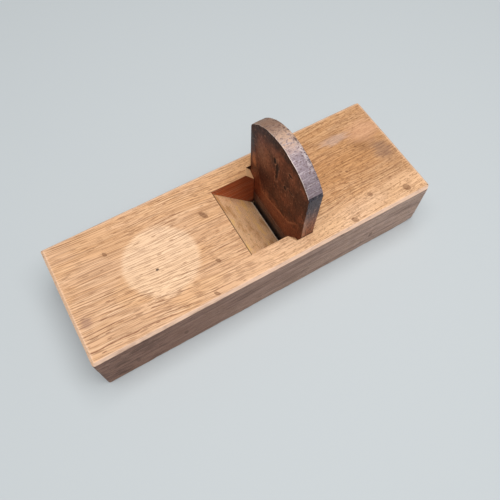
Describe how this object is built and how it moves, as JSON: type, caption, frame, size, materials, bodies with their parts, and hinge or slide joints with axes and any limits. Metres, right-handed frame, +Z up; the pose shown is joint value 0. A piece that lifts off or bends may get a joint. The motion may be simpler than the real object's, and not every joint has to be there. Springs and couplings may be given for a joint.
{
  "type": "japanese scraper plane",
  "caption": "Low oak plane block with an upright, round-headed laminated scraping blade wedged in side grooves behind a slanted throat.",
  "frame": {"origin": "centre of the sole, at the middle of the block's length and width", "axes": "+X along the block to its head end, which is struck to loosen the blade; +Y across the block; +Z up, out of the top of the block"},
  "size_m": [0.1826, 0.0636, 0.0756],
  "materials": {
    "oak": "hand-planed bare oak, darkened by handling",
    "forged_iron": "dark brown forge scale, pitted, with a hammered head",
    "blade_steel": "stone-ground steel with a brown tarnish"
  },
  "bodies": {
    "block": {"oak_block": "oak"},
    "blade": {"blade_iron": "forged_iron", "blade_steel": "blade_steel"}
  },
  "joints": [
    {"name": "blade_slide", "type": "slide", "parent": "block", "child": "blade", "axis": [0, 0, 1], "range_m": [-0.0005, 0.034]}
  ]
}
